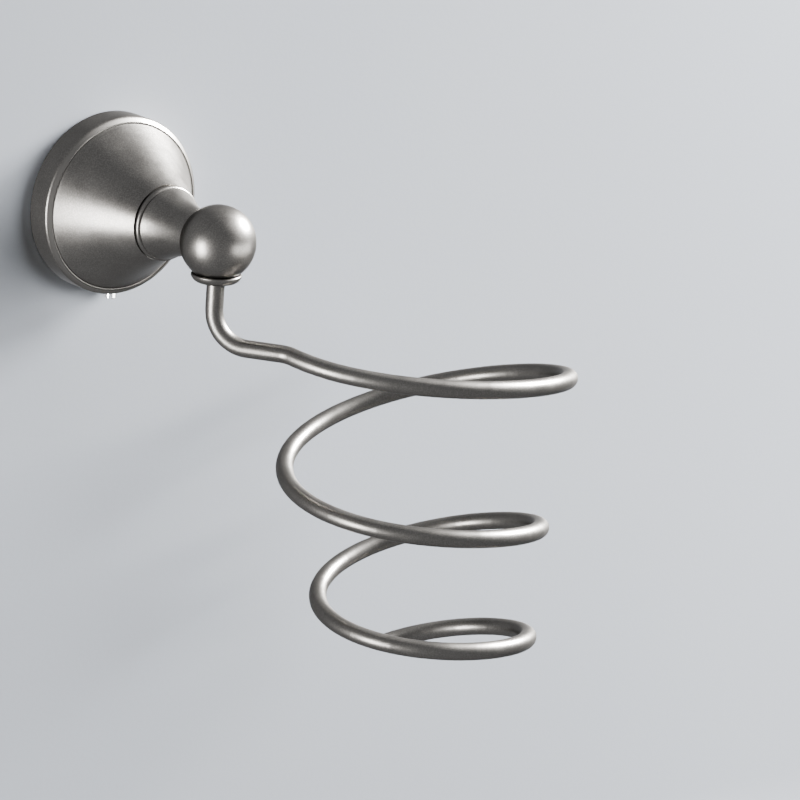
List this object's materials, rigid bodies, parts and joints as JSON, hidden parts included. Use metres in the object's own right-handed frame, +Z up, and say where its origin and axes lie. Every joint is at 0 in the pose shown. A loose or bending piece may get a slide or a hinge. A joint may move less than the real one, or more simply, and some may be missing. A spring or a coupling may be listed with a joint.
{
  "type": "hair dryer holder",
  "caption": "Wall-mounted holder with a bell-shaped flange, a ball post and a swivelling tapered wire spiral that a hair dryer's barrel drops into.",
  "frame": {"origin": "centre of the wall bracket's flat back face, which lies on the wall, on the flange's axis", "axes": "the wall is the plane Y = 0 and the holder stands out of it along -Y; +X is to the right as seen from the room; +Z is up, along the post that the spiral hangs from"},
  "size_m": [0.1584, 0.1649, 0.188],
  "materials": {
    "satin_gunmetal": "satin dark pewter plating over zinc and brass castings",
    "satin_gunmetal_rod": "satin dark pewter plating over drawn steel rod",
    "bright_plated_steel": "bright nickel plating",
    "zinc_plated_steel": "clear zinc plating, slightly dull",
    "nylon_grey": "moulded nylon",
    "nylon_natural": "moulded natural nylon"
  },
  "bodies": {
    "wall_fixture": {"wall_bracket": "zinc_plated_steel", "wall_screw_left": "zinc_plated_steel", "wall_screw_right": "zinc_plated_steel", "wall_plug_left": "nylon_grey", "wall_plug_right": "nylon_grey", "flange_cover": "satin_gunmetal", "trim_ring": "satin_gunmetal", "neck": "satin_gunmetal", "ball": "satin_gunmetal", "tie_screw": "zinc_plated_steel", "flat_washer": "zinc_plated_steel", "lock_washer": "zinc_plated_steel"},
    "swivel_arm": {"spiral_wire": "satin_gunmetal_rod", "dished_collar": "satin_gunmetal", "friction_washer": "nylon_natural"},
    "clamp_screw": {"set_screw": "bright_plated_steel"}
  },
  "joints": [
    {"name": "arm_swivel", "type": "hinge", "parent": "wall_fixture", "child": "swivel_arm", "pos_m": [0, -0.0637, -0.0111], "axis": [0, 0, 1], "range_deg": [-170, 19]},
    {"name": "set_screw_travel", "type": "slide", "parent": "wall_fixture", "child": "clamp_screw", "axis": [0, 0, -1], "range_m": [0, 0.002]}
  ]
}
